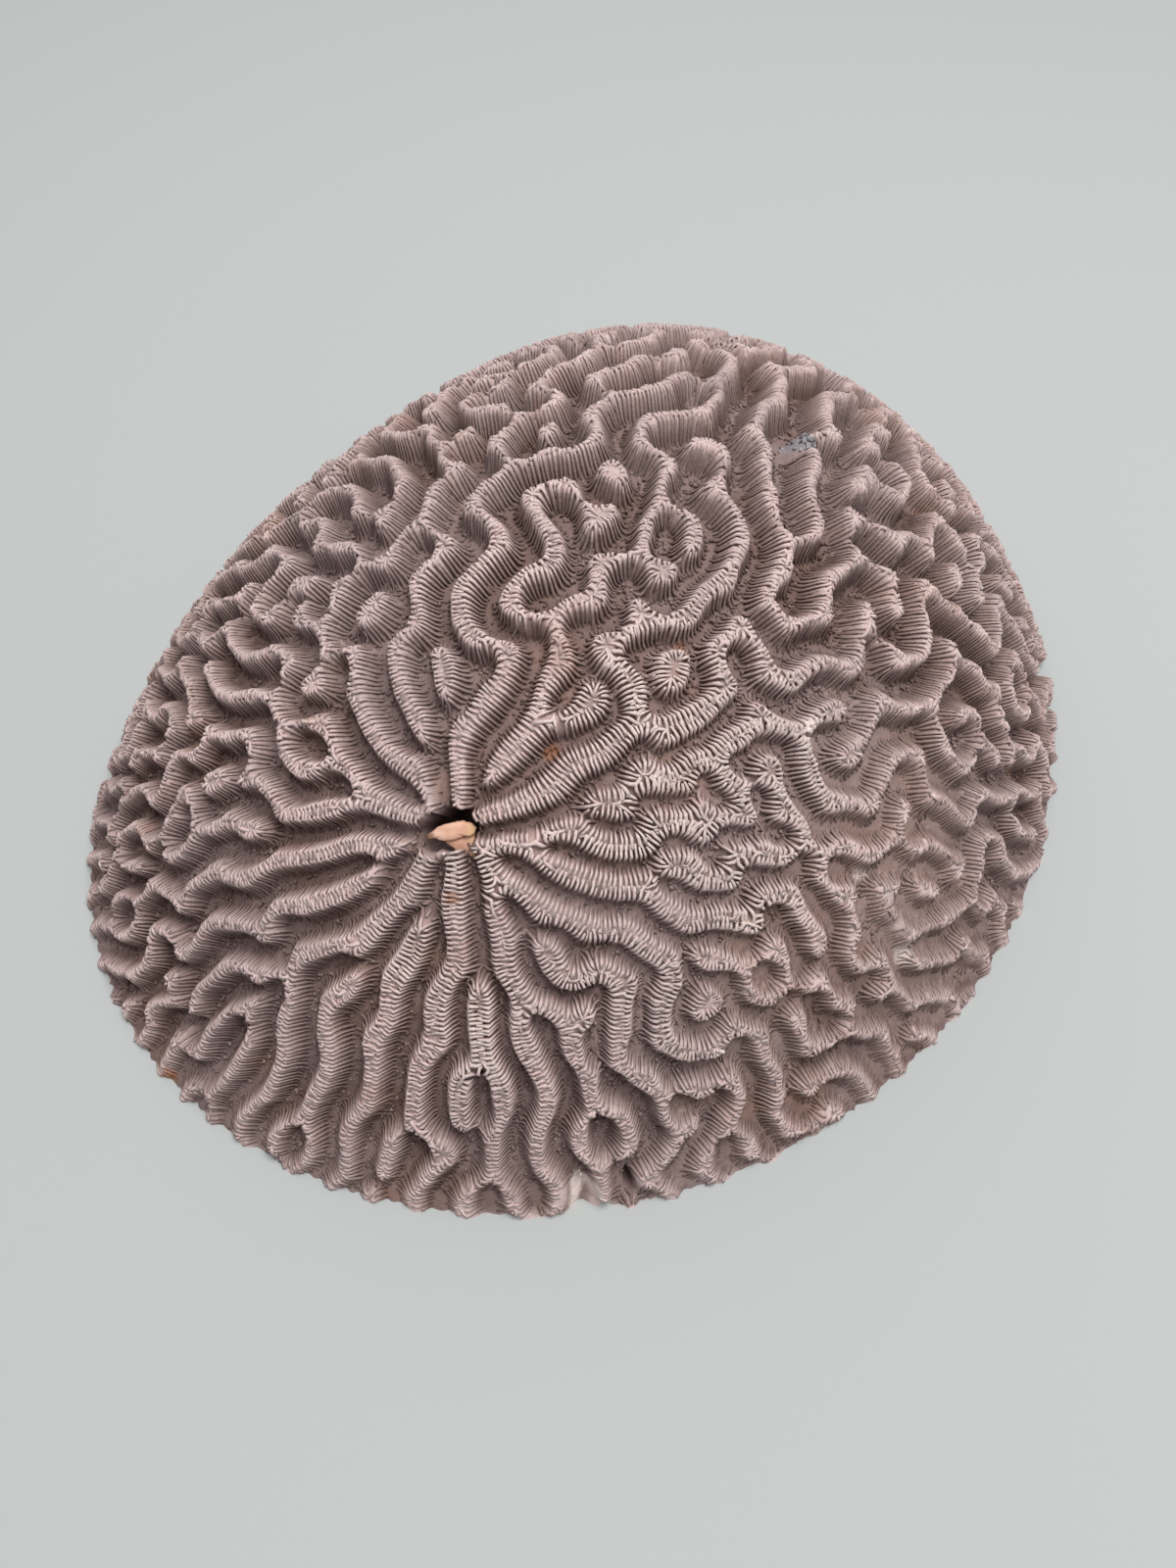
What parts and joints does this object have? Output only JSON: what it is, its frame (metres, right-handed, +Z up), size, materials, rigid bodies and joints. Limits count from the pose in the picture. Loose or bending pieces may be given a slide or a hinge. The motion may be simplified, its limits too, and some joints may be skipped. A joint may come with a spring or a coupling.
{
  "type": "brain coral",
  "caption": "Massive dome of brain coral skeleton with winding toothed ridges, cut off flat underneath, a flake of shell lodged in a pit on its front slope.",
  "frame": {"origin": "middle of the bounding box at the flat cut face the coral stands on", "axes": "+Z up out of the cut face, -Y towards the side seen from the front, +X to its right"},
  "size_m": [0.2292, 0.239, 0.0839],
  "materials": {
    "coral_skeleton": "dry porous coral limestone, greyish pink-brown, paler on worn ridge tops",
    "old_shell": "thin old shell, peach to orange-pink, dull sheen"
  },
  "bodies": {
    "root": {"coral_colony": "coral_skeleton", "shell_flake": "old_shell"}
  },
  "joints": []
}
